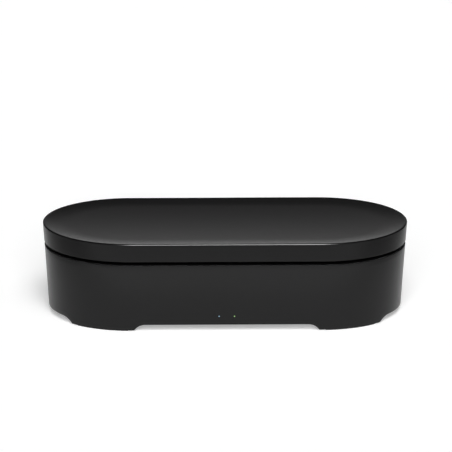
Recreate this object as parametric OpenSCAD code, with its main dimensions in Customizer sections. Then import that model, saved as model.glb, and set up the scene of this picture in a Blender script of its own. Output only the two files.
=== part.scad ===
// Sanitizer box for phones: a stadium-shaped box with a hinged lid. Ultraviolet lamps
// above and below the chamber light a phone that lies on the rests, and a charging coil
// lies under the shallow dish on top of the lid.
//
// Units are millimetres. The origin is on the floor, under the middle of the box.
// X runs along the box, the front faces -Y and Z is up. The box is drawn closed.
// Every wall follows one stadium: a straight spine along X with a half round at each end,
// so a profile of (distance from the spine, height) is swept round it.

/* [Overall] */
// Length over the lid rim
box_length = 225; // [205:1:272]
// Width over the lid rim
box_width = 109; // [98:1:131]
// Height from the floor to the lid rim
box_height = 56; // [52:0.5:72]
// Height of the lid's side wall
lid_wall_h = 11.5; // [11:0.1:14]
// Height of the dark groove between body and lid
groove_h = 2.5; // [2.3:0.1:3]

/* [Shells] */
// Wall thickness of the body and lid shells
shell_wall = 2.2; // [2:0.1:2.3]
// How far the lid wall leans out for each millimetre of height
lid_draft = 0.07; // [0.04:0.01:0.1]
// How far the body wall leans out for each millimetre of height
body_draft = 0.067; // [0.04:0.001:0.07]
// How far the body's top edge stands in from the lid's lower edge
body_step = 0.25; // [0.2:0.05:0.8]
// Radius of the lid's rim
rim_radius = 0.8; // [0.6:0.1:1]
// Thickness of the dish on top of the lid
dish_wall = 1.8; // [1.5:0.1:2]
// Distance from the spine at which the dish starts to rise faster
dish_core_r = 38; // [34:1:41]
// Slope of the dish there, in degrees
dish_core_slope = 1.8; // [1:0.1:2.2]
// Slope of the dish at the rim, in degrees
dish_rim_slope = 8; // [5:0.5:9]
// Width of the lip round the body's top edge
body_lip = 1.1; // [0.9:0.1:1.2]

/* [Feet] */
// Height of the rubber pads under the feet
pad_h = 0.4; // [0.3:0.1:1]
// Width of the rubber pads
pad_w = 1.4; // [1:0.1:1.8]
// Height of the cut-outs between the feet, from the floor
cutout_h = 3.9; // [3.5:0.1:4.5]
// Width of the cut-out at each end, at the bottom
end_cutout = 70; // [60:1:72]
// How far each foot reaches past the end of the spine
foot_reach = 1.3; // [0:0.1:3]
// Radius of the cut-outs' upper corners
cutout_r = 8; // [5:0.1:9]
// Height of the base plate's underside above the floor
base_lift = 4.8; // [4.7:0.1:5]
// Thickness of the base plate
base_wall = 1.6; // [1.4:0.1:1.6]

/* [Chamber] */
// How far the chamber wall stands in from the body's inner wall
chamber_gap = 4.75; // [4.7:0.05:5.2]
// Wall thickness of the chamber tub
tub_wall = 1.5; // [1.2:0.1:1.6]
// Height of the tub's floor above the box's own floor
tub_floor_z = 16; // [16:0.5:19]
// Radius of the corner between the tub's floor and wall
tub_fillet = 6; // [4:0.5:8]
// How far the tub wall leans out for each millimetre of height
tub_draft = 0.05; // [0.04:0.005:0.06]
// Thickness of the wall that carries the seal
ring_wall = 1.6; // [1.5:0.1:1.7]
// Width of the seal
seal_w = 0.8; // [0.7:0.1:0.9]
// Height of the phone rests
rest_h = 7; // [4:0.5:10]
// Length of each phone rest
rest_l = 60; // [40:1:64]
// Thickness of the liner that closes the lid from below
liner_wall = 1.2; // [1.1:0.1:1.4]

/* [Lamps] */
// Distance of each lamp board from the middle of the box
lamp_x = 52; // [50:1:56]
// Length of a lamp board
lamp_board_l = 24; // [20:1:26]
// Width of a lamp board
lamp_board_w = 22; // [20:1:30]
// Diameter of the lamp windows
window_d = 17; // [14:0.5:18]
// Thickness of the lamp windows
window_t = 0.8; // [0.6:0.1:0.9]
// Height of a lamp
lamp_h = 1.2; // [0.8:0.1:1.3]

/* [Boards] */
// Thickness of every circuit board
board_t = 1; // [0.8:0.1:1.2]
// Length of the main board
main_board_l = 70; // [60:1:72]
// Diameter of the charging coil
coil_d = 43; // [36:1:46]
// Diameter of the coil's open middle
coil_eye_d = 20; // [14:1:24]
// Thickness of the coil
coil_t = 1.2; // [0.8:0.1:1.3]
// Thickness of the ferrite plate under the coil
ferrite_t = 0.8; // [0.5:0.1:0.9]
// Diameter of the leads to the lamps and the lid switch
lead_d = 1.2; // [0.8:0.1:1.4]
// Diameter of the lead that passes along the hinge axis
harness_d = 1.6; // [1.2:0.1:1.8]

/* [Controls] */
// Distance between the two indicators on the front
indicator_pitch = 9.4; // [8:0.1:14]
// Diameter of an indicator's lens
lens_d = 1.2; // [1:0.1:1.6]
// Diameter of the start button
button_d = 6.4; // [5:0.1:7]
// Travel of the start button
button_travel = 0.5; // [0.3:0.1:0.6]
// Sideways place of the start button on the rear wall
button_x = -22; // [-26:1:-18]
// Sideways place of the power inlet on the rear wall
inlet_x = 16; // [12:1:24]
// Diameter of the plunger that the lid presses
plunger_d = 1.8; // [1.6:0.1:1.8]
// How far the plunger rises when the lid opens
plunger_travel = 1.5; // [1:0.1:1.6]

/* [Hinge] */
// Distance of each hinge from the middle of the box
hinge_x = 34; // [30:1:36]
// Radius of the hinge knuckles
knuckle_r = 2.2; // [2:0.1:2.2]
// Radius of the hinge pins
pin_r = 1; // [0.8:0.1:1.1]
// Width of the lid's knuckle
lid_knuckle_w = 11.6; // [8:0.1:12]
// Width of each of the body's two knuckles
body_knuckle_w = 6; // [4:0.1:6.5]
// Height of the hinge axis above the body's top edge
hinge_rise = 1; // [0.9:0.1:1.1]
// Thickness of the body's hinge brackets
bracket_t = 1.8; // [1.5:0.1:1.8]
// Thickness of the lid's hinge arms
arm_t = 1.5; // [1.2:0.1:1.6]

/* [Fasteners] */
// Radius of the shank of the screws that close the shells
screw_r = 1.05; // [0.9:0.05:1.2]
// Radius of their countersunk heads
screw_head_r = 2.1; // [1.8:0.1:2.3]
// Radius of the shank of the small screws on boards and brackets
small_screw_r = 0.8; // [0.7:0.05:0.9]
// Outer radius of the screw bosses
boss_r = 2.9; // [2.6:0.1:3.2]

/* [Clearances] */
// Gap round a piece that is dropped into its seat
seat_gap = 0.1; // [0.05:0.05:0.15]
// Gap round a screw in its hole
screw_gap = 0.05; // [0.03:0.01:0.1]
// Gap between each hinge pin and the knuckle that turns on it
pin_play = 0.05; // [0.03:0.01:0.08]
// Gap between the seal's top and the lid liner
seal_gap = 0.3; // [0.2:0.05:0.5]
// Gap all round the moving plunger and the start button
slide_gap = 0.2; // [0.1:0.05:0.2]

/* [Hidden] */

$fn = 96;
small_fn = 40;                        // round details under 10 mm
eps = 0.01;                           // how far a cutter runs past the face that it cuts

// The stadium: half the straight spine, and the walls' distances from it
spine = (box_length - box_width) / 2;
lid_bottom_z = box_height - lid_wall_h;
body_top_z = lid_bottom_z - groove_h;
crest_r = box_width / 2 - rim_radius;
function lid_r(z) = box_width / 2 - (box_height - rim_radius - z) * lid_draft;
body_top_r = lid_r(lid_bottom_z) - body_step;
function body_r(z) = body_top_r - (body_top_z - z) * body_draft;
function body_inner_r(z) = body_r(z) - shell_wall;
function lid_inner_r(z) = lid_r(z) - shell_wall;

// The dish: a parabola out to the core, then a second one that steepens to the rim
core_slope = tan(dish_core_slope);
rim_slope = tan(dish_rim_slope);
dish_rise_w = crest_r - dish_core_r;
dish_depth = core_slope * (dish_core_r / 2 + dish_rise_w)
             + (rim_slope - core_slope) * dish_rise_w / 2;
dish_mid_z = box_height - dish_depth;
dish_core_z = dish_mid_z + core_slope * dish_core_r / 2;
function dish_z(r) = r <= dish_core_r
    ? dish_mid_z + core_slope * r * r / (2 * dish_core_r)
    : dish_core_z + core_slope * (r - dish_core_r)
      + (rim_slope - core_slope) * pow(r - dish_core_r, 2) / (2 * dish_rise_w);
dish_steps = [for (i = [0:6]) dish_core_r * i / 6, for (i = [1:8]) dish_core_r + dish_rise_w * i / 8];

// Tub, ring and seal
flange_t = 1.2;
shelf_z = body_top_z - flange_t;
shelf_r = body_top_r - body_lip;
tub_flange_r = shelf_r - seat_gap;
ring_flange_r = tub_flange_r;
ring_flange_t = 0.8;
chamber_r = body_top_r - shell_wall - chamber_gap;
function tub_outer_r(z) = chamber_r + tub_wall - (body_top_z - z) * tub_draft;
function tub_inner_r(z) = tub_outer_r(z) - tub_wall;
tub_under_z = tub_floor_z - tub_wall;
ring_wall_r = chamber_r + ring_wall;
ring_top_z = lid_bottom_z - 0.6;
seal_depth = 0.8;
seal_mid_r = chamber_r + ring_wall / 2;
liner_z = lid_bottom_z + 0.5;
liner_top_z = liner_z + liner_wall;
liner_r = lid_inner_r(liner_z) - 0.3;
seal_top_z = liner_z - seal_gap;
peg_r = 0.8;
peg_ring_r = (ring_wall_r + body_inner_r(shelf_z)) / 2;

// Base plate and the ledge that it closes against
base_top_z = base_lift + base_wall;
ledge_h = 1.2;
ledge_w = 1.4;
ledge_r = body_inner_r(base_top_z) - ledge_w;
base_gap = 0.25;
base_r = body_inner_r(base_lift) - base_gap;
boss_x = 44;
boss_y = chamber_r - 10.5;            // clear of the tub's rounded lower corner
end_boss_x = spine + chamber_r - 12.5;
base_screw_places = [for (sx = [-1, 1], sy = [-1, 1]) [sx * boss_x, sy * boss_y],
                     for (sx = [-1, 1]) [sx * end_boss_x, 0]];
base_screw_l = tub_under_z - base_lift - 1.1;

// Boards in the base
standoff_h = 1;
main_board_z = base_top_z + standoff_h;
main_board_top = main_board_z + board_t;
main_board_y = ledge_r - 1.5;
standoff_r = 2.5;
main_screw_x = main_board_l / 2 - 4;
main_screw_y = main_board_y - 13;
main_screw_places = [for (sx = [-1, 1], sy = [-1, 1]) [sx * main_screw_x, sy * main_screw_y]];
lamp_gap = 0.4;                       // between a lamp and its window's wall
lower_board_z = tub_under_z - lamp_gap - lamp_h - board_t;
upper_board_z = liner_top_z + lamp_gap + lamp_h;
lamp_standoff_r = 2.2;
lamp_screw_x = lamp_board_l / 2 - 3;
lamp_screw_y = lamp_board_w / 2 - 3;
window_ledge = 1.5;                   // width of the ledge that a window lies on

// Controls
indicator_z = main_board_top + 0.9;
led_l = 1.6;
pipe_back_y = -main_board_y - 0.2;
inlet_w = 8.9;
inlet_h = 3.2;
inlet_d = 7.3;
inlet_z = main_board_top + inlet_h / 2;
inlet_mouth_y = body_r(inlet_z) - 0.3;
button_z = main_board_top + 3.6;
button_flange_d = button_d + 1.2;
button_flange_t = 0.8;
button_flange_y = body_inner_r(button_z - button_flange_d / 2) - 0.3 - button_flange_t;
button_face_y = body_r(button_z) + 0.7;
button_stem_y = button_flange_y - 0.2;
switch_nub_y = button_stem_y - button_travel - 0.1;
switch_front_y = switch_nub_y - 1;
plunger_ring_r = ring_wall_r + slide_gap + plunger_d / 2 + 0.2;
plunger_x = spine + plunger_ring_r;
plunger_top_z = liner_z - 0.3;
collar_low = 0.4;                     // the plunger's collar, from its lower end
collar_high = 1.2;
plunger_bottom_z = shelf_z - 2 * slide_gap - plunger_travel - collar_high;
lid_switch_top = plunger_bottom_z - 0.5;
lid_switch_h = 7.5;
lid_switch_w = 7;
lid_switch_t = 2.2;
lid_switch_x = spine + tub_outer_r(lid_switch_top) + 0.15;

// Hinge
hinge_y = body_top_r - knuckle_r;
hinge_z = body_top_z + hinge_rise;
knuckle_gap = 0.2;
knuckle_in = lid_knuckle_w / 2 + knuckle_gap;
knuckle_out = knuckle_in + body_knuckle_w;
relief_half = hinge_x + knuckle_out + 2;
relief_y = ring_wall_r;
relief_z = hinge_z - knuckle_r - 0.4;
lid_relief_z = hinge_z + knuckle_r + 0.7;
lid_relief_half = spine + sqrt(pow(lid_r(lid_bottom_z), 2) - pow(hinge_y, 2)) + 1.2;
bracket_y = relief_y + seat_gap;
bracket_bottom_z = shelf_z - 11;
bracket_top_z = relief_z + seat_gap;  // its arms pass over the wall's lowered edge
bracket_screw_x = 6.5;
bracket_screw_z = shelf_z - 6;
pilot_end_y = tub_inner_r(bracket_screw_z) + tub_wall / 2;
bracket_screw_l = bracket_y + bracket_t - pilot_end_y - 0.2;
arm_back_y = lid_inner_r(lid_relief_z) - 0.3;
arm_front_y = hinge_y - 13;
arm_foot_half = 8;
arm_screw_x = 4.5;
arm_screw_y = arm_front_y + 4;
harness_x = 8;

// Lid screws: four at the ends, two at the front and two through each hinge arm
lid_end_boss = [spine + 26, chamber_r - 16.5];
lid_front_boss_y = 6.5 - chamber_r;
lid_screw_places = [for (sx = [-1, 1], sy = [-1, 1]) [sx * lid_end_boss[0], sy * lid_end_boss[1]],
                    for (sx = [-1, 1]) [sx * boss_x, lid_front_boss_y]];
arm_screw_places = [for (sx = [-1, 1], side = [-1, 1]) [sx * hinge_x + side * arm_screw_x, arm_screw_y]];
lid_boss_top = dish_mid_z - dish_wall / 2;
lid_screw_top = dish_mid_z - dish_wall - 0.7;

// Coil stack, from the dish down
coil_z = dish_mid_z - dish_wall - 0.2 - coil_t;
ferrite_z = coil_z - ferrite_t;
carrier_half = coil_d / 2 + 2.5;
carrier_t = 1;
carrier_z = ferrite_z - carrier_t;
carrier_leg_r = 2;
coil_board_half = 24;
coil_board_w = 14;
coil_board_y = -carrier_half - coil_board_w - 3.5;    // the board's front edge
coil_board_z = liner_top_z + 1.6;

// ---- shapes that repeat ----

// Points on an arc about (cx, cz), from one angle to another
function arc(cx, cz, r, a0, a1, steps) =
    [for (i = [0:steps]) let (a = a0 + (a1 - a0) * i / steps) [cx + r * cos(a), cz + r * sin(a)]];

// Sweeps a profile of (distance from the spine, height) round the stadium
module stadium_sweep() {
    for (end = [-1, 1])
        translate([end * spine, 0, 0]) rotate([0, 0, -90 * end]) rotate_extrude(angle = 180) children();
    translate([-spine, 0, 0]) rotate([90, 0, 90]) linear_extrude(2 * spine) {
        children();
        mirror([1, 0]) children();
    }
}

// A flat plate with the stadium's outline
module stadium_plate(r, z0, z1) {
    translate([0, 0, z0]) linear_extrude(z1 - z0) {
        square([2 * spine, 2 * r], center = true);
        for (end = [-1, 1]) translate([end * spine, 0]) circle(r);
    }
}

module at(places) {
    for (p = places) translate([p[0], p[1], 0]) children();
}

module both_ends() {
    for (turn = [0, 1]) mirror([turn, 0, 0]) children();
}

// A round post between two heights
module post(r, z0, z1) {
    translate([0, 0, z0]) cylinder(h = z1 - z0, r = r, $fn = small_fn);
}

// A block given by its lowest and highest corners
module block(low, high) {
    translate(low) cube(high - low);
}

// A countersunk screw that points up from its flat head
module countersunk_screw(z0, z1, head_r, shank_r) {
    head_h = head_r - shank_r;
    difference() {
        union() {
            translate([0, 0, z0]) cylinder(h = head_h, r1 = head_r, r2 = shank_r, $fn = small_fn);
            post(shank_r, z0 + head_h - eps, z1);
        }
        for (turn = [0, 90]) rotate([0, 0, turn])
            block([-head_r * 0.6, -0.25, z0 - eps], [head_r * 0.6, 0.25, z0 + 0.7]);
    }
}

// The hole for it
module countersunk_hole(z0, z1, head_r, shank_r) {
    wide = head_r + screw_gap;
    thin = shank_r + screw_gap;
    translate([0, 0, z0 - eps]) cylinder(h = wide - thin + eps, r1 = wide + eps, r2 = thin, $fn = small_fn);
    post(thin, z0, z1);
}

// A small round-headed screw, whose head lies on seat_z and whose tip is at tip_z
module small_screw(seat_z, tip_z) {
    head_h = 1.1;
    translate([0, 0, seat_z]) mirror([0, 0, tip_z < seat_z ? 0 : 1]) difference() {
        union() {
            post(small_screw_r * 2, 0, head_h);
            post(small_screw_r, -abs(seat_z - tip_z), eps);
        }
        for (turn = [0, 90]) rotate([0, 0, turn])
            block([-small_screw_r * 1.3, -0.2, head_h - 0.5], [small_screw_r * 1.3, 0.2, head_h + eps]);
    }
}

// A lead that follows the given points, with a round bend at each inner one. The bends are
// a little thicker than the runs, which reach a short way into them.
module lead(points, d) {
    bend_r = 0.8 * d;
    reach = 0.15;
    last = len(points) - 1;
    ways = [for (i = [0:last - 1]) (points[i + 1] - points[i]) / norm(points[i + 1] - points[i])];
    turns = [0, for (i = [1:1:last - 1]) acos(ways[i - 1] * ways[i]), 0];
    trims = [for (turn = turns) turn > 0 ? bend_r * tan(turn / 2) - reach : 0];
    for (i = [0:last - 1]) translate(points[i] + ways[i] * trims[i])
        rotate([0, acos(ways[i][2]), atan2(ways[i][1], ways[i][0])])
            cylinder(h = norm(points[i + 1] - points[i]) - trims[i] - trims[i + 1], d = d, $fn = 24);
    for (i = [1:1:last - 1]) {
        along = ways[i - 1];
        inward = (ways[i] - (along * ways[i]) * along) / sin(turns[i]);
        side = cross(along, inward);
        centre = points[i] - along * (trims[i] + reach) + inward * bend_r;
        multmatrix([for (k = [0:2]) [-inward[k], along[k], side[k], centre[k]]])
            rotate_extrude(angle = turns[i]) translate([bend_r, 0]) circle(d = d * 1.05, $fn = 24);
    }
}

// A cylinder on the hinge axis
module on_hinge(x0, x1, r) {
    translate([x0, hinge_y, hinge_z]) rotate([0, 90, 0]) cylinder(h = x1 - x0, r = r, $fn = small_fn);
}

module rear_relief(z0, z1) {
    block([-relief_half, relief_y, z0], [relief_half, box_width, z1]);
}

// ---- base: shells ----

module cutout_outline(half) {
    flat_half = half - sqrt(pow(cutout_r, 2) - pow(cutout_r - cutout_h + pad_h, 2));
    translate([-flat_half, cutout_h - cutout_r]) square([2 * flat_half, cutout_r]);
    for (end = [-1, 1]) translate([end * flat_half, cutout_h - cutout_r]) circle(cutout_r);
}

module body_shell() {
    color("#2b2c2f") difference() {
        stadium_sweep() polygon([
            [body_r(pad_h), pad_h], [body_top_r, body_top_z], [shelf_r, body_top_z], [shelf_r, shelf_z],
            [body_inner_r(shelf_z), shelf_z], [body_inner_r(base_top_z + ledge_h), base_top_z + ledge_h],
            [ledge_r, base_top_z + ledge_h], [ledge_r, base_top_z], [body_inner_r(base_top_z), base_top_z],
            [body_inner_r(pad_h), pad_h]]);
        // the gaps between the feet, front to rear and end to end
        translate([0, box_width, 0]) rotate([90, 0, 0]) linear_extrude(2 * box_width)
            cutout_outline(spine - foot_reach);
        translate([-box_length, 0, 0]) rotate([90, 0, 90]) linear_extrude(2 * box_length)
            cutout_outline(end_cutout / 2);
        rear_relief(relief_z, box_height);
        // indicator lenses, each with a shallow countersink
        for (end = [-1, 1]) translate([end * indicator_pitch / 2, -body_r(indicator_z), indicator_z])
            rotate([90, 0, 0]) {
                translate([0, 0, -2 * shell_wall])
                    cylinder(h = 4 * shell_wall, d = lens_d + 2 * screw_gap, $fn = small_fn);
                translate([0, 0, -0.3])
                    cylinder(h = 0.6, r1 = lens_d / 2, r2 = lens_d / 2 + 0.6, $fn = small_fn);
            }
        translate([button_x, body_inner_r(button_z) - 2, button_z]) rotate([-90, 0, 0])
            cylinder(h = 3 * shell_wall, d = button_d + slide_gap, $fn = small_fn);
        translate([inlet_x, body_inner_r(inlet_z) - 2, inlet_z]) rotate([-90, 0, 0])
            linear_extrude(3 * shell_wall) inlet_outline(0.25);
    }
}

module base_plate() {
    color("#232426") difference() {
        union() {
            stadium_plate(base_r, base_lift, base_top_z);
            at(main_screw_places) post(standoff_r, base_top_z - eps, main_board_z);
        }
        at(base_screw_places) countersunk_hole(base_lift, base_top_z + eps, screw_head_r, screw_r);
        at(main_screw_places) post(small_screw_r + screw_gap, base_lift + 0.4, main_board_z + eps);
    }
}

module base_screws() {
    color("silver") at(base_screw_places)
        countersunk_screw(base_lift, base_lift + base_screw_l, screw_head_r, screw_r);
}

module foot_pads() {
    mid_r = body_r(pad_h) - shell_wall / 2;
    first = asin(end_cutout / 2 / (mid_r - pad_w / 2)) + 3;
    color("#151515") both_ends() for (side = [0, 1]) mirror([0, side, 0])
        translate([spine, 0, 0]) rotate([0, 0, first]) rotate_extrude(angle = 87 - first)
            translate([mid_r - pad_w / 2, 0]) square([pad_w, pad_h]);
}

module uv_tub() {
    corner_z = tub_under_z + tub_fillet;
    inner_fillet = tub_fillet - tub_wall;
    color("#d9dcde") difference() {
        union() {
            stadium_sweep() polygon(concat(
                [[0, tub_under_z]],
                arc(tub_outer_r(corner_z) - tub_fillet, corner_z, tub_fillet, -90, 0, 6),
                [[tub_outer_r(shelf_z), shelf_z], [tub_flange_r, shelf_z], [tub_flange_r, body_top_z],
                 [chamber_r, body_top_z]],
                arc(tub_inner_r(corner_z) - inner_fillet, corner_z, inner_fillet, 0, -90, 6),
                [[0, tub_floor_z]]));
            at(base_screw_places) post(boss_r, base_top_z, tub_under_z + eps);
            lower_lamp_places() at_corners(lamp_screw_x, lamp_screw_y)
                post(lamp_standoff_r, lower_board_z + board_t, tub_under_z + eps);
            at_bracket_screws() cylinder(h = bracket_y - pilot_end_y, r = 3.2, $fn = small_fn);
        }
        at(base_screw_places) post(screw_r + screw_gap, base_top_z - eps, base_lift + base_screw_l + 0.3);
        lower_lamp_places() {
            post(window_d / 2 + seat_gap, tub_floor_z - window_t, tub_floor_z + eps);
            post(window_d / 2 - window_ledge, tub_under_z - eps, tub_floor_z);
            at_corners(lamp_screw_x, lamp_screw_y)
                post(small_screw_r + screw_gap, tub_under_z - 5, tub_floor_z - 0.5);
        }
        at_bracket_screws() cylinder(h = 10, r = small_screw_r + screw_gap, $fn = small_fn);
        rear_relief(shelf_z - 0.5, box_height);
        peg_places() post(peg_r + screw_gap, shelf_z - eps, body_top_z + eps);
        translate([plunger_x, 0, 0]) post(plunger_d / 2 + slide_gap, shelf_z - eps, body_top_z + eps);
    }
}

module rim_ring() {
    color("#101113") difference() {
        union() {
            stadium_sweep() polygon([
                [chamber_r, body_top_z], [ring_flange_r, body_top_z],
                [ring_flange_r, body_top_z + ring_flange_t], [ring_wall_r, body_top_z + ring_flange_t],
                [ring_wall_r, ring_top_z], [seal_mid_r + seal_w / 2, ring_top_z],
                [seal_mid_r + seal_w / 2, ring_top_z - seal_depth],
                [seal_mid_r - seal_w / 2, ring_top_z - seal_depth],
                [seal_mid_r - seal_w / 2, ring_top_z], [chamber_r, ring_top_z]]);
            peg_places() post(peg_r, shelf_z - 0.5, body_top_z + eps);
        }
        rear_relief(body_top_z - eps, box_height);
        translate([plunger_x, 0, 0])
            post(plunger_d / 2 + slide_gap, body_top_z - eps, ring_top_z);
    }
}

module lid_seal() {
    color("#1b1b1b") stadium_sweep() translate([seal_mid_r - seal_w / 2, ring_top_z - seal_depth])
        square([seal_w, seal_top_z - ring_top_z + seal_depth]);
}

// Where pegs hold the ring on the tub's flange, clear of the hinges and the plunger
module peg_places() {
    both_ends() for (x = [hinge_x / 2, hinge_x + 12]) translate([x, -peg_ring_r, 0]) children();
    both_ends() translate([spine, 0, 0]) {
        for (a = [-45, 45]) rotate([0, 0, a]) translate([peg_ring_r, 0, 0]) children();
        rotate([0, 0, 80]) translate([peg_ring_r, 0, 0]) children();
    }
}

module phone_rests() {
    color("#e8eaec") for (x = [lamp_x - 22, lamp_x + 24]) both_ends()
        translate([x, rest_l / 2, tub_floor_z]) rotate([90, 0, 0])
            linear_extrude(rest_l) polygon([[-2, 0], [2, 0], [1, rest_h], [-1, rest_h]]);
}

// ---- base: lamps ----

module lower_lamp_places() {
    both_ends() translate([lamp_x, 0, 0]) children();
}

module at_corners(x, y) {
    for (sx = [-1, 1], sy = [-1, 1]) translate([sx * x, sy * y, 0]) children();
}

module lamp_board(z) {
    difference() {
        block([-lamp_board_l / 2, -lamp_board_w / 2, z], [lamp_board_l / 2, lamp_board_w / 2, z + board_t]);
        at_corners(lamp_screw_x, lamp_screw_y) post(small_screw_r + seat_gap, z - eps, z + board_t + eps);
    }
}

// Two lamps side by side, each a base with a small dome over its emitter
module lamp_pair(z, facing) {
    for (side = [-1, 1]) translate([side * 2.6, 0, z]) mirror([0, 0, facing > 0 ? 0 : 1]) {
        block([-1.75, -1.75, 0], [1.75, 1.75, lamp_h * 0.6]);
        post(1.2, 0, lamp_h);
    }
}

module lower_windows() {
    color("lightblue", 0.5) lower_lamp_places() post(window_d / 2, tub_floor_z - window_t, tub_floor_z);
}

module lower_uv_boards() {
    color("#dfe3e6") lower_lamp_places() {
        lamp_board(lower_board_z);
        block([-lamp_board_l / 2 + 1, -2, lower_board_z - lead_d - 0.2],
              [-lamp_board_l / 2 + 4, 2, lower_board_z + eps]);
    }
}

module lower_uv_leds() {
    color("gold") lower_lamp_places() lamp_pair(lower_board_z + board_t, 1);
}

module lower_board_screws() {
    color("silver") lower_lamp_places() at_corners(lamp_screw_x, lamp_screw_y)
        small_screw(lower_board_z, tub_floor_z - 0.8);
}

module lower_uv_leads() {
    from_x = main_board_l / 2 - 1;
    to_x = lamp_x - lamp_board_l / 2 + 1;
    lead_z = lower_board_z - lead_d / 2 - 0.1;
    color("white") both_ends() lead([[from_x, 0, lead_z], [to_x, 0, lead_z]], lead_d);
}

// ---- base: main board and what it carries ----

module main_board() {
    color("darkgreen") difference() {
        block([-main_board_l / 2, -main_board_y, main_board_z],
              [main_board_l / 2, main_board_y, main_board_top]);
        at(main_screw_places) post(small_screw_r + seat_gap, main_board_z - eps, main_board_top + eps);
    }
}

module main_board_parts() {
    chips = [[0, 0, 8, 8, 1.2], [-14, 8, 6, 5, 1.2], [12, -14, 6, 5, 1.4], [-2, -22, 4, 4, 1]];
    coils = [[18, 18], [-18, -12]];
    capacitors = [[22, 4], [-24, 26], [2, 26]];
    plugs = [[main_board_l / 2 - 3, 0], [3 - main_board_l / 2, 0]];
    color("#2f3236") {
        for (c = chips) translate([c[0] - c[2] / 2, c[1] - c[3] / 2, main_board_top])
            cube([c[2], c[3], c[4]]);
        for (c = coils) translate([c[0], c[1], main_board_top]) difference() {
            translate([-3.5, -3.5, 0]) cube([7, 7, 3.4]);
            post(2.6, 2.9, 4);
        }
        for (c = capacitors) translate([c[0], c[1], 0]) post(2.5, main_board_top, main_board_top + 4.4);
        for (p = plugs) translate([p[0], p[1], main_board_top]) translate([-2, -3, 0])
            cube([4, 6, lower_board_z - lead_d - 0.2 - main_board_top]);
        translate([main_board_l / 2 - 5, -13, main_board_top]) cube([4, 6, 2]);
        translate([-harness_x - 3, main_board_y - 6, main_board_top]) cube([6, 5, 3]);
    }
}

module main_board_screws() {
    color("silver") at(main_screw_places) small_screw(main_board_top, base_lift + 0.6);
}

module inlet_outline(grow) {
    round_r = inlet_h / 2 + grow;
    square([inlet_w - inlet_h, 2 * round_r], center = true);
    for (end = [-1, 1]) translate([end * (inlet_w - inlet_h) / 2, 0]) circle(round_r, $fn = small_fn);
}

module power_inlet() {
    wall = 0.3;
    color("silver") translate([inlet_x, inlet_mouth_y, inlet_z]) rotate([90, 0, 0]) {
        difference() {
            linear_extrude(inlet_d) inlet_outline(0);
            translate([0, 0, -eps]) linear_extrude(inlet_d - 1) inlet_outline(-wall);
        }
        translate([-inlet_w / 2 + 1.2, -0.35, 1]) cube([inlet_w - 2.4, 0.7, inlet_d - 1.5]);
    }
}

module status_leds() {
    color("white") for (end = [-1, 1])
        block([end * indicator_pitch / 2 - led_l / 2, -main_board_y, main_board_top],
              [end * indicator_pitch / 2 + led_l / 2, -main_board_y + led_l, main_board_top + 1.8]);
}

// A clear rod that carries an indicator's light through the wall
module light_pipe(x) {
    face_y = 0.2 - body_r(indicator_z);
    collar_y = 0.3 - body_inner_r(indicator_z);
    translate([x, 0, indicator_z]) rotate([90, 0, 0]) {
        translate([0, 0, -pipe_back_y]) cylinder(h = pipe_back_y - face_y, d = lens_d, $fn = small_fn);
        translate([0, 0, -collar_y - 0.8]) cylinder(h = 0.8, d = 2 * lens_d, $fn = small_fn);
    }
}

module sanitize_light_pipe() {
    color("#8fc1e8") light_pipe(-indicator_pitch / 2);
}

module charge_light_pipe() {
    color("#8fd07f") light_pipe(indicator_pitch / 2);
}

module start_button() {
    color("#1a1b1d") translate([button_x, 0, button_z]) rotate([-90, 0, 0]) {
        difference() {
            translate([0, 0, button_flange_y])
                cylinder(h = button_face_y - button_flange_y, d = button_d, $fn = small_fn);
            // the shallow dish that a fingertip finds
            translate([0, 0, button_face_y - 0.25])
                cylinder(h = 0.5, d1 = button_d - 2.4, d2 = button_d - 1, $fn = small_fn);
        }
        translate([0, 0, button_flange_y])
            cylinder(h = button_flange_t, d = button_flange_d, $fn = small_fn);
        translate([0, 0, button_stem_y]) cylinder(h = 1, d = 3, $fn = small_fn);
    }
}

module start_switch() {
    color("#3a3d40") {
        block([button_x - 3, switch_front_y - 4, main_board_top],
              [button_x + 3, switch_front_y, tub_under_z - 0.5]);
        translate([button_x, switch_front_y - eps, button_z]) rotate([-90, 0, 0])
            cylinder(h = switch_nub_y - switch_front_y + eps, d = 2.6, $fn = small_fn);
    }
}

module lid_switch() {
    color("#3a3d40") {
        block([lid_switch_x, -lid_switch_w / 2, lid_switch_top - lid_switch_h],
              [lid_switch_x + lid_switch_t, lid_switch_w / 2, lid_switch_top]);
        translate([plunger_x, 0, 0]) post(0.5, lid_switch_top - eps, plunger_bottom_z);
    }
}

module lid_switch_plunger() {
    color("#e6e6e0") translate([plunger_x, 0, 0]) {
        post(plunger_d / 2, plunger_bottom_z, plunger_top_z);
        post(plunger_d / 2 + 0.25, plunger_bottom_z + collar_low, plunger_bottom_z + collar_high);
    }
}

module lid_switch_lead() {
    low_z = main_board_top + 0.6;
    turn_r = tub_outer_r(tub_under_z + tub_fillet) + lead_d / 2 + 0.5;
    color("white") lead([[main_board_l / 2 - 1, -10, low_z],
                         [spine + ledge_r * 0.9, -10, low_z],
                         [spine + turn_r, 0, tub_under_z - 1],
                         [lid_switch_x + lid_switch_t / 2, 0, lid_switch_top - lid_switch_h]], lead_d);
}

// ---- hinge, body side ----

module at_bracket_screws() {
    for (sx = [-1, 1], side = [-1, 1])
        translate([sx * hinge_x + side * bracket_screw_x, pilot_end_y, bracket_screw_z])
            rotate([-90, 0, 0]) children();
}

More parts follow.
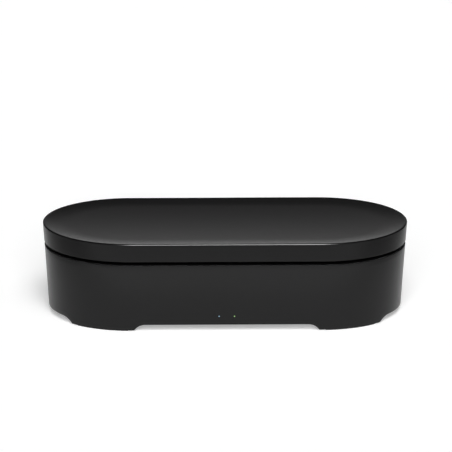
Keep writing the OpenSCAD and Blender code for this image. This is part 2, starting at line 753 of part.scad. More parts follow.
module hinge_brackets() {
    back_y = bracket_y + bracket_t;
    color("#2a2a2c") both_ends() translate([hinge_x, 0, 0]) difference() {
        union() {
            block([-knuckle_out, bracket_y, bracket_bottom_z], [knuckle_out, back_y, bracket_top_z]);
            for (side = [-1, 1]) {
                low_x = side > 0 ? knuckle_in : -knuckle_out;
                block([low_x, bracket_y, bracket_top_z - eps], [low_x + body_knuckle_w, hinge_y, hinge_z]);
                on_hinge(low_x, low_x + body_knuckle_w, knuckle_r);
            }
        }
        on_hinge(-knuckle_out - eps, knuckle_out + eps, pin_r + 0.02);
        for (side = [-1, 1]) translate([side * bracket_screw_x, back_y, bracket_screw_z]) rotate([90, 0, 0])
            countersunk_hole(0, bracket_t + eps, 2 * small_screw_r, small_screw_r);
    }
}

module hinge_pins() {
    color("silver") both_ends() translate([hinge_x, 0, 0]) on_hinge(-knuckle_out, knuckle_out, pin_r);
}

module hinge_screws() {
    color("silver") both_ends() for (side = [-1, 1])
        translate([hinge_x + side * bracket_screw_x, bracket_y + bracket_t, bracket_screw_z])
            rotate([90, 0, 0]) countersunk_screw(0, bracket_screw_l, 2 * small_screw_r, small_screw_r);
}

module body_harness() {
    plug_face_y = main_board_y - 1;
    rise_y = body_inner_r(main_board_top) - harness_d / 2 - 0.1;
    color("#333") lead([[-harness_x, plug_face_y, main_board_top + 1.6],
                        [-harness_x, plug_face_y + 0.8, main_board_top + 1.6],
                        [-harness_x, rise_y, main_board_top + 4],
                        [-harness_x, bracket_y + 1.1, relief_z - 1],
                        [-harness_x, hinge_y, hinge_z],
                        [0, hinge_y, hinge_z]], harness_d);
}

// ---- lid ----

module lid_shell() {
    crest_z = box_height - rim_radius;
    color("#2b2c2f") difference() {
        union() {
            stadium_sweep() polygon(concat(
                [[lid_r(lid_bottom_z), lid_bottom_z]],
                arc(crest_r, crest_z, rim_radius, 0, 90, 6),
                [for (i = [len(dish_steps) - 2:-1:0]) [dish_steps[i], dish_z(dish_steps[i])]],
                [for (r = dish_steps) if (r < lid_inner_r(crest_z) - 3) [r, dish_z(r) - dish_wall]],
                [[lid_inner_r(crest_z) - 3, dish_z(lid_inner_r(crest_z) - 3) - dish_wall],
                 [lid_inner_r(crest_z - 4), crest_z - 4],
                 [lid_inner_r(lid_bottom_z), lid_bottom_z]]));
            at(lid_screw_places) post(boss_r, liner_top_z, lid_boss_top);
            at(arm_screw_places) post(boss_r, liner_top_z + arm_t, lid_boss_top);
        }
        at(concat(lid_screw_places, arm_screw_places))
            post(screw_r + screw_gap, liner_z, lid_screw_top + 0.2);
        // the rear wall is shorter between the hinges' clearances, to swing past the body
        block([-lid_relief_half, 0, lid_bottom_z - 1], [lid_relief_half, box_width, lid_relief_z]);
    }
}

module lid_liner() {
    color("#d9dcde") difference() {
        union() {
            stadium_plate(liner_r, liner_z, liner_top_z);
            lower_lamp_places() at_corners(lamp_screw_x, lamp_screw_y)
                post(lamp_standoff_r, liner_top_z - eps, upper_board_z);
            coil_board_corners() post(lamp_standoff_r, liner_top_z - eps, coil_board_z);
        }
        block([-relief_half, bracket_y, liner_z - 1], [relief_half, box_width, liner_top_z + 1]);
        at(concat(lid_screw_places, arm_screw_places))
            countersunk_hole(liner_z, liner_top_z + eps, screw_head_r, screw_r);
        lower_lamp_places() {
            post(window_d / 2 + seat_gap, liner_z - eps, liner_z + window_t);
            post(window_d / 2 - window_ledge, liner_z, liner_top_z + eps);
            at_corners(lamp_screw_x, lamp_screw_y)
                post(small_screw_r + screw_gap, liner_z + 0.4, upper_board_z + eps);
        }
        coil_board_corners() post(small_screw_r + screw_gap, liner_z + 0.4, coil_board_z + eps);
    }
}

module liner_screws() {
    color("silver") {
        at(concat(lid_screw_places, arm_screw_places))
            countersunk_screw(liner_z, lid_screw_top, screw_head_r, screw_r);
    }
}

module upper_windows() {
    color("lightblue", 0.5) lower_lamp_places() post(window_d / 2, liner_z, liner_z + window_t);
}

module upper_uv_boards() {
    color("#dfe3e6") lower_lamp_places() {
        lamp_board(upper_board_z);
        block([-lamp_board_l / 2 + 1, -6, upper_board_z + board_t - eps],
              [-lamp_board_l / 2 + 4, -2, upper_board_z + board_t + lead_d + 0.2]);
    }
}

module upper_uv_leds() {
    color("gold") lower_lamp_places() lamp_pair(upper_board_z, -1);
}

module upper_board_screws() {
    color("silver") {
        lower_lamp_places() at_corners(lamp_screw_x, lamp_screw_y)
            small_screw(upper_board_z + board_t, liner_z + 0.6);
        coil_board_corners() small_screw(coil_board_z + board_t, liner_z + 0.6);
    }
}

module upper_uv_leads() {
    board_y = coil_board_y + coil_board_w / 2;
    start_z = coil_board_z + board_t + lead_d / 2 + 0.1;
    end_z = upper_board_z + board_t + lead_d / 2 + 0.1;
    color("white") both_ends() lead([[coil_board_half - 4, board_y, start_z],
                                     [coil_board_half + 6, board_y, start_z],
                                     [lamp_x - lamp_board_l / 2 - 3, -4, end_z],
                                     [lamp_x - lamp_board_l / 2 + 1, -4, end_z]], lead_d);
}

module coil_carrier() {
    color("#f0f0ee") {
        block([-carrier_half, -carrier_half, carrier_z], [carrier_half, carrier_half, ferrite_z]);
        at_corners(carrier_half - 3, carrier_half - 3) post(carrier_leg_r, liner_top_z, carrier_z + eps);
    }
}

module ferrite_plate() {
    half = coil_d / 2 + 1;
    color("#3b3b3d") block([-half, -half, ferrite_z], [half, half, coil_z]);
}

module charging_coil() {
    color("#b87333") translate([0, 0, coil_z]) rotate_extrude()
        translate([coil_eye_d / 2, 0]) square([(coil_d - coil_eye_d) / 2, coil_t]);
}

module coil_board_corners() {
    for (sx = [-1, 1]) translate([sx * (coil_board_half - 3), coil_board_y + 3, 0]) children();
}

module coil_board() {
    color("darkgreen") difference() {
        union() {
            block([-coil_board_half, coil_board_y, coil_board_z],
                  [coil_board_half, coil_board_y + coil_board_w, coil_board_z + board_t]);
            block([harness_x - 3, coil_board_y + coil_board_w - 4, coil_board_z - 1.5],
                  [harness_x + 3, coil_board_y + coil_board_w, coil_board_z + eps]);
            block([-4, coil_board_y + 5, coil_board_z + board_t - eps],
                  [2, coil_board_y + 11, coil_board_z + 2]);
        }
        coil_board_corners()
            post(small_screw_r + seat_gap, coil_board_z - eps, coil_board_z + board_t + eps);
    }
}

// ---- hinge, lid side ----

module lid_hinge_arms() {
    half = lid_knuckle_w / 2;
    foot_top = liner_top_z + arm_t;
    color("#2a2a2c") both_ends() translate([hinge_x, 0, 0]) difference() {
        union() {
            on_hinge(-half, half, knuckle_r);
            block([-half, arm_back_y - arm_t, hinge_z], [half, arm_back_y, foot_top]);
            block([-arm_foot_half, arm_front_y, liner_top_z], [arm_foot_half, arm_back_y, foot_top]);
        }
        on_hinge(-half - eps, half + eps, pin_r + pin_play);
        for (side = [-1, 1]) translate([side * arm_screw_x, arm_screw_y, 0])
            post(screw_r + seat_gap, liner_top_z - eps, foot_top + eps);
    }
}

module lid_harness() {
    run_z = liner_top_z + harness_d / 2 + 0.2;
    color("#333") lead([[0, hinge_y, hinge_z],
                        [harness_x, hinge_y, hinge_z],
                        [harness_x, bracket_y + 1.8, run_z],
                        [harness_x, coil_board_y + coil_board_w, run_z]], harness_d);
}

body_shell();
base_plate();
base_screws();
foot_pads();
uv_tub();
rim_ring();
lid_seal();
phone_rests();
lower_windows();
lower_uv_boards();
lower_uv_leds();
lower_board_screws();
lower_uv_leads();
main_board();
main_board_parts();
main_board_screws();
power_inlet();
status_leds();
sanitize_light_pipe();
charge_light_pipe();
start_button();
start_switch();
lid_switch();
lid_switch_plunger();
lid_switch_lead();
hinge_brackets();
hinge_pins();
hinge_screws();
body_harness();
lid_shell();
lid_liner();
liner_screws();
upper_windows();
upper_uv_boards();
upper_uv_leds();
upper_board_screws();
upper_uv_leads();
coil_carrier();
ferrite_plate();
charging_coil();
coil_board();
lid_hinge_arms();
lid_harness();
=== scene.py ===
# %% [markdown]
# # A sanitizer box for phones
#
# The box is black moulded plastic with the outline of a stadium: a straight middle and a
# half round at each end. Its lid has a shallow dish on top, its body stands on four low
# feet, and between the two runs a thin dark groove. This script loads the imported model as
# a fixed frame, and then gives the box its finish: two smooth casings, a material for
# every piece, a floor, lights and a camera.

# %% Load the frame
import bmesh
import bpy
import numpy as np
from mathutils import Matrix, Vector


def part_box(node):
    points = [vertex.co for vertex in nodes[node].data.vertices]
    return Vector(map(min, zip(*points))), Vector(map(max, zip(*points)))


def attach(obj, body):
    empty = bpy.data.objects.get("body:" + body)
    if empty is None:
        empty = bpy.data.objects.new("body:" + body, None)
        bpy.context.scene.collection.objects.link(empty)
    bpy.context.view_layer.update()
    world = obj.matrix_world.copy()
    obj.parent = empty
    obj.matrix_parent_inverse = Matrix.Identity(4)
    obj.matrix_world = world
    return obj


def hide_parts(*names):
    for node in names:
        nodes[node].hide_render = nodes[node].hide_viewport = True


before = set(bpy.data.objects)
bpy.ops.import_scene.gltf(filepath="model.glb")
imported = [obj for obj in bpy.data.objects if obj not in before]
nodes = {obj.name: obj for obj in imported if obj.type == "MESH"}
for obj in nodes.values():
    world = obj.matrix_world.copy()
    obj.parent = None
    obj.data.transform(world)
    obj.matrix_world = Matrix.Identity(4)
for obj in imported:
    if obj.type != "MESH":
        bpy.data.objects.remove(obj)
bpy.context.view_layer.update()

# %% [markdown]
# ## The sizes that the looks depend on
#
# The casings are drawn again here as smooth surfaces, so their sizes are read off the
# frame wherever a node's box gives them. The rest are the few wall sizes that a box can't
# tell, such as a draft or the radius of an edge. Everything is in metres.

# %% Sizes
MM = 0.001
MICRON = MM / 1000
lid_low, lid_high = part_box("lid_shell")
body_low, body_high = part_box("body_shell")
half_width = lid_high.y
rim_z = lid_high.z
spine = lid_high.x - half_width               # half of the straight middle
lid_bottom_z = lid_low.z
body_top_z = body_high.z
body_bottom_z = body_low.z
wall = 2.2 * MM
lid_draft = 0.07                              # metres outwards for each metre up
body_draft = 0.067
rim_reach = 1.0 * MM                          # the rim's crest is a quarter of an ellipse,
rim_drop = 0.55 * MM                          # this wide and this high
dish_wall = 1.8 * MM
edge_radius = 0.3 * MM                        # the small round of the lid's lower edge
body_top_r = body_high.y
for size_name, size in (("spine", spine), ("half width", half_width), ("rim", rim_z)):
    print(size_name, round(size / MM, 2), "mm")


def middle(name):
    """The middle of a node's box."""
    low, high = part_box(name)
    return (low + high) / 2


def lid_radius(z):
    """The lid's outside, measured from the spine: a straight wall that leans outwards."""
    return half_width - (rim_z - rim_drop - z) * lid_draft


def body_radius(z):
    """The body's outside: as the lid's, with a smaller draft."""
    return body_top_r - (body_top_z - z) * body_draft


# %% [markdown]
# ## Shader maths as Python
#
# A material's nodes are easier to read as expressions than as a list of links. `Wire`
# wraps one output socket and overloads the arithmetic operators, each of which adds a
# Math node. Its `rise` method is the ramp from which most masks are made: 0 up to one
# value, 1 from another value on, and a straight line between. `Paint` starts a material
# with a Principled shader, and its `add` method makes any other node from its type, its
# settings and its sockets.


# %% Wires and paints
class Wire:
    """An output socket that takes part in arithmetic."""

    def __init__(self, paint, socket):
        self.paint = paint
        self.socket = socket

    def maths(self, operation, first, second=0.5):
        return self.paint.add("ShaderNodeMath", {"operation": operation}, {0: first, 1: second})

    def __add__(self, other):
        return self.maths("ADD", self, other)

    def __sub__(self, other):
        return self.maths("SUBTRACT", self, other)

    def __rsub__(self, other):
        return self.maths("SUBTRACT", other, self)

    def __mul__(self, other):
        return self.maths("MULTIPLY", self, other)

    def __truediv__(self, other):
        return self.maths("DIVIDE", self, other)

    def __pow__(self, other):
        return self.maths("POWER", self, other)

    __radd__ = __add__
    __rmul__ = __mul__

    def clamp(self, low=0.0, high=1.0):
        return self.maths("MINIMUM", self.maths("MAXIMUM", self, low), high)

    def rise(self, start, end):
        """0 up to start, 1 from end on, and a straight line between."""
        return ((self - start) * (1 / (end - start))).clamp()

    def absolute(self):
        return self.maths("ABSOLUTE", self)

    def wave(self):
        return self.maths("SINE", self)


class Paint:
    """A material that is being made. Its keywords set the Principled shader's own sockets."""

    def __init__(self, name, **sockets):
        self.material = bpy.data.materials.new(name)
        self.material.use_nodes = True
        self.tree = self.material.node_tree
        self.shader = self.tree.nodes["Principled BSDF"]
        for socket, value in sockets.items():
            self.put(socket.replace("_", " ").title().replace("Ior", "IOR"), value)

    def join(self, value, socket):
        """Links a wire to a socket, or writes a plain value on it."""
        if isinstance(value, Wire):
            self.tree.links.new(value.socket, socket)
        elif hasattr(value, "__len__") and socket.type == "RGBA":
            socket.default_value = (*value[:3], 1)
        else:
            socket.default_value = value

    def put(self, name, value):
        self.join(value, self.shader.inputs[name])

    def add(self, kind, settings=None, sockets=None, output=0):
        """Any node: its settings are set first, then its sockets, by name or number."""
        node = self.tree.nodes.new(kind)
        for name, value in (settings or {}).items():
            if name == "stops":
                while len(node.color_ramp.elements) < len(value):
                    node.color_ramp.elements.new(0.5)
                for element, (place, colour) in zip(node.color_ramp.elements, value):
                    element.position = place
                    element.color = (*colour, 1)
            else:
                setattr(node, name, value)
        for name, value in (sockets or {}).items():
            self.join(value, node.inputs[name])
        return Wire(self, node.outputs[output])

    def place(self):
        """Object coordinates: the place on the piece, in metres."""
        return self.add("ShaderNodeTexCoord", output="Object")

    def axis(self, place, name):
        return self.add("ShaderNodeSeparateXYZ", None, {0: place}, output=name)

    def noise(self, scale, detail=2.0, rough=0.5, place=None):
        """Smooth noise with about `scale` bumps to a metre, from 0 to 1."""
        sockets = {"Vector": place or self.place(), "Scale": scale,
                   "Detail": detail, "Roughness": rough}
        return self.add("ShaderNodeTexNoise", None, sockets)

    def mix(self, factor, first, second):
        """A colour between two colours."""
        settings = {"data_type": "RGBA"}
        sockets = {"Factor": factor, 6: first, 7: second}
        return self.add("ShaderNodeMix", settings, sockets, output=2)

    def bump(self, height, depth):
        """Raises the surface by up to `depth` metres where height is 1."""
        sockets = {"Strength": 1.0, "Distance": depth, "Height": height}
        self.put("Normal", self.add("ShaderNodeBump", None, sockets))


# %% [markdown]
# ## Moulded black plastic
#
# The lid and the body are injection moulded in black, with a fine satin texture from a
# spark-eroded mould. Such a surface is nearly black by itself: what the eye reads as grey
# is the pale floor, mirrored softly at a few per cent. So the base colour is very low and
# the look comes from the gloss. The texture is a bump of a few micrometres, a fraction of a
# millimetre across, and a broad faint change in roughness keeps the surface from looking
# computed. Wear shows first where fingers lift the lid, as a polished line on the straight
# front of its rim.


# %% Black plastic
def spine_distance(paint):
    """How far a point is from the stadium's spine, measured on the level."""
    place = paint.place()
    past_spine = (paint.axis(place, "X").absolute() - spine).clamp()
    return (past_spine ** 2 + paint.axis(place, "Y") ** 2) ** 0.5


wear_low = rim_z - 1.4 * rim_drop             # the worn line's lower end,
wear_width = 0.14 * MM                        # its width, measured inwards from the wall,
wear_fade = 12 * MM                           # how far past the straight front it fades out,
wear_gloss = 0.15                             # and how much less rough it is


def rim_wear(paint):
    """1 on the outer edge of the rim's crest, along the straight front, and 0 elsewhere."""
    place = paint.place()
    crest = paint.axis(place, "Z").rise(wear_low, wear_low + 0.2 * MM)
    wear_start = half_width - wear_width
    edge = spine_distance(paint).rise(wear_start, wear_start + 0.05 * MM)
    past_middle = paint.axis(place, "X").absolute().rise(spine, spine + wear_fade)
    in_front = (paint.axis(place, "Y") * -1).rise(0, 1 * MM)
    return edge * crest * (1.0 - past_middle) * in_front


def moulded_plastic(name, grey, roughness, specular=0.5, grain=2 * MICRON, worn_rim=False):
    paint = Paint(name, ior=1.5, specular_ior_level=specular, coat_roughness=0.12, coat_ior=2.15)
    broad = paint.noise(9, detail=3)
    handling = paint.noise(60, detail=4, rough=0.6)
    surface = roughness + (broad - 0.5) * 0.05 + (handling - 0.5) * 0.03
    if worn_rim:
        worn = rim_wear(paint)
        surface = surface - worn * wear_gloss
        paint.put("Coat Weight", worn)
    paint.put("Roughness", surface)
    shade = paint.noise(25, detail=2)
    cool_grey = [grey * 1.1, grey * 1.1, grey * 1.14]
    paint.put("Base Color", paint.mix(shade, [grey * 0.9] * 3, cool_grey))
    paint.bump(paint.noise(4200, detail=2, rough=0.6), grain)
    return paint.material


lid_black = moulded_plastic("lid satin black", 0.0045, 0.24, specular=0.22, worn_rim=True)
body_black = moulded_plastic("body satin black", 0.006, 0.26, specular=0.31)
base_black = moulded_plastic("base plate black", 0.012, 0.5, grain=12 * MICRON)
# The ring in the groove between lid and body is painted shade: a much darker, duller black than the
# casings, which stands for the shadow that falls inside the groove.
groove_painted_shade = moulded_plastic("groove painted shade black", 0.0012, 0.75, specular=0.06)
button_black = moulded_plastic("button black", 0.022, 0.3)

# %% [markdown]
# ## Rubber, silicone and the chamber
#
# The pads and the seal are matt black rubber with a soft, slightly dusty surface. The
# rests are milky silicone, which lets a little light in, so they take some subsurface
# scattering. The chamber is moulded in a pale silver-grey that sends the lamps' light all
# round the phone: a satin, slightly metallic paint does that.


# %% Soft and pale finishes
def rubber(name, grey):
    paint = Paint(name, roughness=0.8, specular_ior_level=0.35)
    dust = paint.noise(700, detail=4, rough=0.7)
    paint.put("Base Color", paint.mix(dust, [grey] * 3, [grey * 1.8] * 3))
    paint.bump(paint.noise(2600, detail=3), 10 * MICRON)
    return paint.material


def silicone(name):
    paint = Paint(name, roughness=0.42, subsurface_weight=0.25, subsurface_scale=0.002)
    cloud = paint.noise(180, detail=3)
    paint.put("Base Color", paint.mix(cloud, (0.70, 0.72, 0.74), (0.80, 0.82, 0.83)))
    paint.bump(paint.noise(1800, detail=2), 6 * MICRON)
    return paint.material


def silvered_plastic(name):
    paint = Paint(name, metallic=0.55)
    flow = paint.noise(14, detail=3)
    fleck = paint.noise(5200, detail=1)
    paint.put("Base Color", paint.mix(fleck, (0.44, 0.45, 0.465), (0.53, 0.54, 0.555)))
    paint.put("Roughness", 0.30 + flow * 0.08)
    paint.bump(fleck, 2 * MICRON)
    return paint.material


pad_rubber = rubber("pad rubber", 0.012)
seal_rubber = rubber("seal rubber", 0.016)
rest_silicone = silicone("milky silicone")
chamber_silver = silvered_plastic("silvered chamber plastic")

# %% [markdown]
# ## Glass, lenses and lamps
#
# The lamp windows are discs of quartz glass, clear and flat. The two indicators are the
# ends of clear rods, lit from behind by small lamps, one pale blue and one pale green, so
# each has a weak glow of its own that is a little brighter in the middle. The lamps behind
# the windows are gold-plated squares with a small clear dome.

# %% Glass, lenses and lamps
glow_radius = 0.33 * MM                       # of the bright middle of an indicator


def quartz(name):
    paint = Paint(name, ior=1.46, transmission_weight=1.0, base_color=(0.93, 0.97, 1.0))
    smear = paint.noise(90, detail=4)
    paint.put("Roughness", smear.clamp(0.4, 0.8) * 0.06)
    return paint.material


def lit_lens(name, colour, glow, centre):
    paint = Paint(name, roughness=0.25, emission_strength=glow)
    place = paint.place()
    sideways = paint.axis(place, "X") - centre.x
    upwards = paint.axis(place, "Z") - centre.z
    off_axis = (sideways * sideways + upwards * upwards) ** 0.5
    middle_glow = 1.0 - off_axis.rise(0.2 * glow_radius, 1.2 * glow_radius)
    swirl = paint.noise(1500, detail=2)
    unlit = [c * 0.02 for c in colour]
    paint.put("Base Color", paint.mix(swirl, unlit, [c * 2 for c in unlit]))
    paint.put("Emission Color", paint.mix(middle_glow, [c * 0.01 for c in colour], colour))
    return paint.material


def gold_plate(name):
    paint = Paint(name, metallic=1.0)
    grain = paint.noise(3000, detail=3)
    paint.put("Base Color", paint.mix(grain, (0.83, 0.60, 0.24), (0.93, 0.72, 0.34)))
    paint.put("Roughness", 0.22 + grain * 0.15)
    return paint.material


window_quartz = quartz("window quartz")
lens_blue = lit_lens("lens pale blue", (0.30, 0.48, 0.62), 2.0, middle("sanitize_light_pipe"))
lens_green = lit_lens("lens pale green", (0.36, 0.62, 0.24), 1.9, middle("charge_light_pipe"))
lamp_gold = gold_plate("lamp gold plate")

# %% [markdown]
# ## Metals
#
# Screws are zinc plated, with fine turning marks. The hinge parts are steel with a black
# coating that is rubbed a little on the knuckles. The inlet's shell is bright nickel.


# %% Metals
def plated_steel(name, colour, roughness):
    paint = Paint(name, metallic=1.0)
    marks = paint.noise(2200, detail=4, rough=0.65)
    paint.put("Base Color", paint.mix(marks, [c * 0.9 for c in colour], colour))
    paint.put("Roughness", roughness + marks * 0.12)
    paint.bump(marks, 1 * MICRON)
    return paint.material


def coated_steel(name):
    paint = Paint(name, metallic=0.6)
    rub = paint.noise(350, detail=5, rough=0.65).rise(0.56, 0.66)
    paint.put("Base Color", paint.mix(rub, (0.014, 0.014, 0.015), (0.05, 0.05, 0.052)))
    paint.put("Roughness", 0.42 - rub * 0.1)
    return paint.material


screw_steel = plated_steel("zinc-plated steel", (0.62, 0.63, 0.65), 0.28)
inlet_nickel = plated_steel("bright nickel", (0.72, 0.70, 0.66), 0.18)
hinge_coating = coated_steel("black coated steel")

# %% [markdown]
# ## Boards, parts and leads
#
# These lie inside and show only when the part is taken apart, but each still has its own
# finish: a green board with lines of copper under the mask, white lamp boards, black part
# bodies, nylon, dark ferrite, enamelled copper wire in rings, and plain wire insulation.


# %% Boards, parts and leads
def circuit_board(name, mask, line):
    paint = Paint(name, roughness=0.35)
    place = paint.place()
    across = (paint.axis(place, "X") * 2600).wave()
    along = (paint.axis(place, "Y") * 1900).wave()
    patch = paint.noise(120, detail=0, place=place)
    tracks = (across * patch + along * (1 - patch)).rise(0.45, 0.55)
    paint.put("Base Color", paint.mix(tracks, mask, line))
    paint.bump(tracks, 20 * MICRON)
    return paint.material


def plain_part(name, colour, roughness, speckle=0.15):
    paint = Paint(name)
    dots = paint.noise(1600, detail=3)
    paint.put("Base Color", paint.mix(dots, [c * (1 - speckle) for c in colour], colour))
    paint.put("Roughness", roughness + (dots - 0.5) * 0.1)
    paint.bump(dots, 4 * MICRON)
    return paint.material


def wound_copper(name):
    paint = Paint(name, metallic=0.8, roughness=0.3)
    place = paint.place()
    radius = (paint.axis(place, "X") ** 2 + paint.axis(place, "Y") ** 2) ** 0.5
    turns = (radius * (2 * np.pi / (1.05 * MM))).wave() * 0.5 + 0.5
    paint.put("Base Color", paint.mix(turns, (0.20, 0.07, 0.03), (0.80, 0.38, 0.20)))
    paint.bump(turns, 0.3 * MM)
    return paint.material


board_green = circuit_board("green board", (0.012, 0.10, 0.045), (0.05, 0.22, 0.10))
lamp_board_white = circuit_board("white lamp board", (0.72, 0.73, 0.72), (0.60, 0.61, 0.60))
part_black = plain_part("moulded part bodies", (0.02, 0.02, 0.022), 0.45)
nylon = plain_part("natural nylon", (0.74, 0.73, 0.68), 0.45, speckle=0.05)
ferrite_grey = plain_part("ferrite sheet", (0.05, 0.05, 0.055), 0.6)
copper_wire = wound_copper("enamelled copper wire")
lead_white = plain_part("white insulation", (0.75, 0.75, 0.72), 0.4, speckle=0.06)
lead_black = plain_part("black insulation", (0.018, 0.018, 0.018), 0.4)

# %% [markdown]
# ## Which node wears what
#
# Each node of the frame takes one of these materials. Its mesh is left as it is. The faces
# are shaded smooth, with a sharp break wherever two of them meet at more than 30 degrees.

# %% Dress the nodes
finishes = {
    base_black: ["base_plate"],
    pad_rubber: ["foot_pads"],
    groove_painted_shade: ["rim_ring"],
    seal_rubber: ["lid_seal"],
    chamber_silver: ["uv_tub", "lid_liner"],
    rest_silicone: ["phone_rests"],
    window_quartz: ["lower_windows", "upper_windows"],
    lens_blue: ["sanitize_light_pipe"],
    lens_green: ["charge_light_pipe"],
    lamp_gold: ["lower_uv_leds", "upper_uv_leds"],
    lamp_board_white: ["lower_uv_boards", "upper_uv_boards"],
    screw_steel: ["base_screws", "lower_board_screws", "main_board_screws", "hinge_screws",
                  "liner_screws", "upper_board_screws", "hinge_pins"],
    hinge_coating: ["hinge_brackets", "lid_hinge_arms"],
    inlet_nickel: ["power_inlet"],
    board_green: ["main_board", "coil_board"],
    part_black: ["main_board_parts", "start_switch", "lid_switch", "lid_switch_plunger"],
    nylon: ["status_leds", "coil_carrier"],
    ferrite_grey: ["ferrite_plate"],
    copper_wire: ["charging_coil"],
    lead_white: ["lower_uv_leads", "upper_uv_leads", "lid_switch_lead"],
    lead_black: ["body_harness", "lid_harness"],
    button_black: ["start_button"],
    body_black: ["body_shell"],
    lid_black: ["lid_shell"],
}
smooth_below = np.radians(30)


def smooth(mesh):
    """Shades a mesh smooth, with sharp edges where its faces meet at a clear angle."""
    mesh.shade_smooth()
    mesh.set_sharp_from_angle(angle=smooth_below)


for material, names in finishes.items():
    for name in names:
        node_mesh = nodes[name].data
        node_mesh.materials.clear()
        node_mesh.materials.append(material)
        smooth(node_mesh)
undressed = set(nodes) - {name for names in finishes.values() for name in names}
print("nodes without a finish:", sorted(undressed))

# %% [markdown]
# ## A sweep round the stadium
#
# Each casing is one outline, carried round the stadium. The body's outline is a closed
# loop, and the lid's starts and ends on the spine. A column of the sweep is a place on the
# spine and a direction outwards, and a row is a point of the outline: its distance from the
# spine and its height. All points come from one array expression: place = spine point +
# direction x distance. Along the straight middle the columns step in x, and round each end
# they turn by an angle. Front and rear use the same steps in x, so that the dish's two
# halves meet point for point on the spine.


# %% The sweep
def faced_mesh(name, points, faces, weld=False):
    """A mesh whose faces all look outwards. Welding joins points that lie on each other."""
    mesh = bpy.data.meshes.new(name)
    mesh.from_pydata(points, [], faces)
    work = bmesh.new()
    work.from_mesh(mesh)
    if weld:
        bmesh.ops.remove_doubles(work, verts=work.verts, dist=1e-6)
        bmesh.ops.dissolve_degenerate(work, edges=work.edges, dist=1e-7)
    bmesh.ops.recalc_face_normals(work, faces=work.faces)
    work.to_mesh(mesh)
    work.free()
    return mesh


def stadium_columns(x_steps, angle_steps):
    """Spine points (n, 2) and outward directions (n, 2), anticlockwise from the front left."""
    x = np.unique(np.round(np.concatenate([x_steps, -np.asarray(x_steps)]), 7))
    angle = np.unique(np.round(np.concatenate([angle_steps, -np.asarray(angle_steps)]), 7))
    straight = np.column_stack([x, np.zeros_like(x)])
    turn = np.column_stack([np.cos(angle), np.sin(angle)])
    front = (straight, np.tile([0.0, -1.0], (len(x), 1)))
    right = (np.tile([spine, 0.0], (len(angle), 1)), turn)
    rear = (straight[::-1], -front[1])
    left = (-right[0], -turn)
    parts = [front, right, rear, left]
    return np.vstack([p[0] for p in parts]), np.vstack([p[1] for p in parts])


def swept_mesh(name, columns, distance, height, loop=True):
    """A skin from arrays of shape (columns, rows). A loop joins the last row to the first."""
    centre, outward = columns
    flat = centre[:, None, :] + outward[:, None, :] * distance[:, :, None]
    points = np.concatenate([flat, height[:, :, None]], axis=2)
    count, rows = distance.shape
    a = np.arange(count)[:, None] * rows + np.arange(rows)[None, :]
    b = np.roll(a, -1, axis=0)
    quads = np.stack([a, b, np.roll(b, -1, axis=1), np.roll(a, -1, axis=1)], axis=2)
    if not loop:
        quads = quads[:, :-1]
    faces = quads.reshape(-1, 4).tolist()
    return faced_mesh(name, points.reshape(-1, 3).tolist(), faces, weld=True)


def new_piece(name, mesh, material, body, slot, *replaced):
    """Links a finished mesh as a piece that rides on a body and stands for nodes."""
    piece = bpy.data.objects.new(name, mesh)
    bpy.context.scene.collection.objects.link(piece)
    mesh.materials.clear()
    mesh.materials.append(material)
    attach(piece, body)
    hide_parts(*replaced)
    print(name, len(mesh.polygons), "faces")


def arc(centre_r, centre_z, radius, first, last, steps):
    """Points (distance, height) on an arc in the outline's plane; angles in degrees."""
    angle = np.radians(np.linspace(first, last, steps + 1))
    return centre_r + radius * np.cos(angle), centre_z + radius * np.sin(angle)


# %% [markdown]
# ## The lid's casing
#
# The outline starts on the spine in the middle of the dish. It runs out along the dish,
# over the small round of the rim, down the leaning wall, round the lower edge, up inside
# and back under the dish. The dish is two parabolas joined with the same slope: a very
# flat one in the middle, and one that steepens towards the rim. At the rear the wall ends
# a little higher, so that it can swing past the body.

# %% The lid
dish_core_r = 38 * MM
core_slope = np.tan(np.radians(1.8))
rim_slope = np.tan(np.radians(8))
crest_r = half_width - rim_reach
rise_w = crest_r - dish_core_r
dish_depth = core_slope * (dish_core_r / 2 + rise_w) + (rim_slope - core_slope) * rise_w / 2
lid_relief_z = 45.9 * MM                      # the lower edge at the rear, clear of the body,
lid_relief_half = 75.24 * MM                  # and how far it reaches to each side
inner_corner = 3 * MM                         # from the wall's inside to the dish's underside,
inner_drop = 4 * MM                           # and from the rim to the top of the wall's inside


def dish_height(r):
    """The dish's surface above a distance from the spine."""
    core = rim_z - dish_depth + core_slope * r ** 2 / (2 * dish_core_r)
    outer = (rim_z - dish_depth + core_slope * (r - dish_core_r / 2)
             + (rim_slope - core_slope) * (r - dish_core_r) ** 2 / (2 * rise_w))
    return np.where(r <= dish_core_r, core, outer)


straight_x = np.linspace(0, spine, 30)
end_angle = np.radians(np.linspace(0, 90, 73))
relief_angle = np.arccos((lid_relief_half - spine) / (lid_radius(lid_bottom_z) - wall / 2))
step_w = np.radians(0.02)
lid_columns = stadium_columns(straight_x, np.concatenate(
    [end_angle, [relief_angle - step_w, relief_angle + step_w]]))
column_angle = np.arctan2(lid_columns[1][:, 1], np.abs(lid_columns[1][:, 0]))
raised = column_angle > relief_angle
lower_edge = np.where(raised, lid_relief_z, lid_bottom_z)[:, None]

